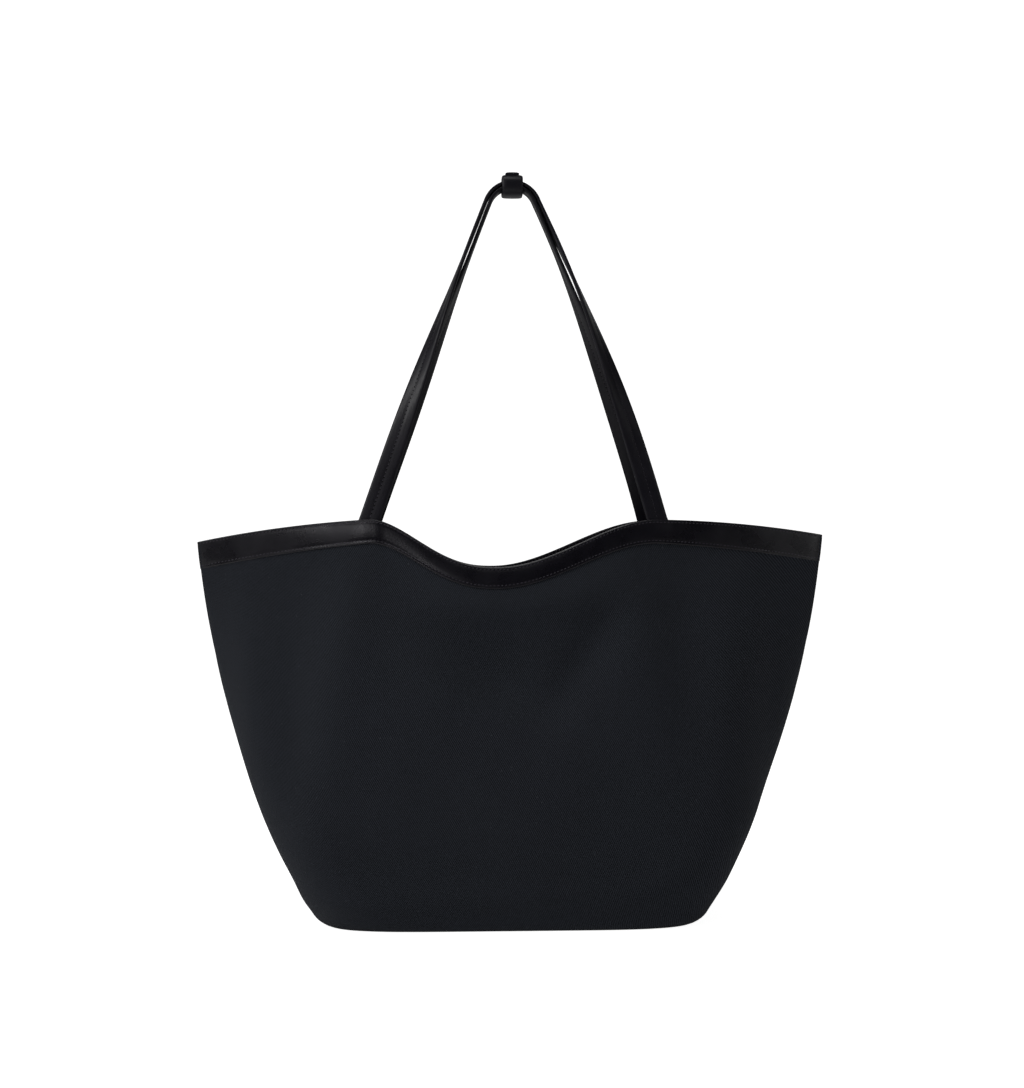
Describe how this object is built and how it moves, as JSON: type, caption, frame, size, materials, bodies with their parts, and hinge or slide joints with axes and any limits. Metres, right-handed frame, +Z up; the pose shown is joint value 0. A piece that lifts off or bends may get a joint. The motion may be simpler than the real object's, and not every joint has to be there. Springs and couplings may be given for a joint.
{
  "type": "canvas tote bag",
  "caption": "Large open-top canvas shoulder tote with leather rim facings, paired leather strap handles and a sliding leather keeper.",
  "frame": {"origin": "on the floor under the middle of the base", "axes": "+Z up, +X along the mouth to the right as seen from the front, -Y is the front"},
  "size_m": [0.5028, 0.1948, 0.5881],
  "materials": {
    "canvas": "matte blue-black cotton twill canvas",
    "lining_cloth": "matte black cotton lining",
    "leather": "smooth black leather, soft satin, stitched in black",
    "strap_leather": "smooth black strap leather, satin, centre-stitched",
    "stay_tape": "firm woven stay tape, hidden",
    "strap_filler": "woven filler tape, hidden",
    "base_board": "semi-rigid board, hidden"
  },
  "bodies": {
    "bag": {"front_panel": "canvas", "front_lining": "lining_cloth", "front_outer_facing": "leather", "front_inner_facing": "leather", "front_rim_stay": "stay_tape", "back_panel": "canvas", "back_lining": "lining_cloth", "back_outer_facing": "leather", "back_inner_facing": "leather", "back_rim_stay": "stay_tape", "base_board": "base_board", "pocket": "lining_cloth", "pocket_trim": "leather", "front_strap_left_end": "strap_leather", "front_strap_right_end": "strap_leather", "front_core_left_end": "strap_filler", "front_core_right_end": "strap_filler", "back_strap_left_end": "strap_leather", "back_strap_right_end": "strap_leather", "back_core_left_end": "strap_filler", "back_core_right_end": "strap_filler"},
    "handles": {"front_strap_top": "strap_leather", "front_core_top": "strap_filler", "back_strap_top": "strap_leather", "back_core_top": "strap_filler"},
    "keeper": {"keeper_loop": "strap_leather", "keeper_tongue": "strap_leather"}
  },
  "joints": [
    {"name": "handles_swing", "type": "hinge", "parent": "bag", "child": "handles", "pos_m": [0, 0, 0.3105], "axis": [1, 0, 0], "range_deg": [-100, 100], "deforming": ["front_strap_left_end", "front_strap_right_end", "front_core_left_end", "front_core_right_end", "back_strap_left_end", "back_strap_right_end", "back_core_left_end", "back_core_right_end"]},
    {"name": "keeper_slide", "type": "hinge", "parent": "handles", "child": "keeper", "pos_m": [0, 0, 0.5575], "axis": [0, 1, 0], "range_deg": [-40, 40]}
  ]
}
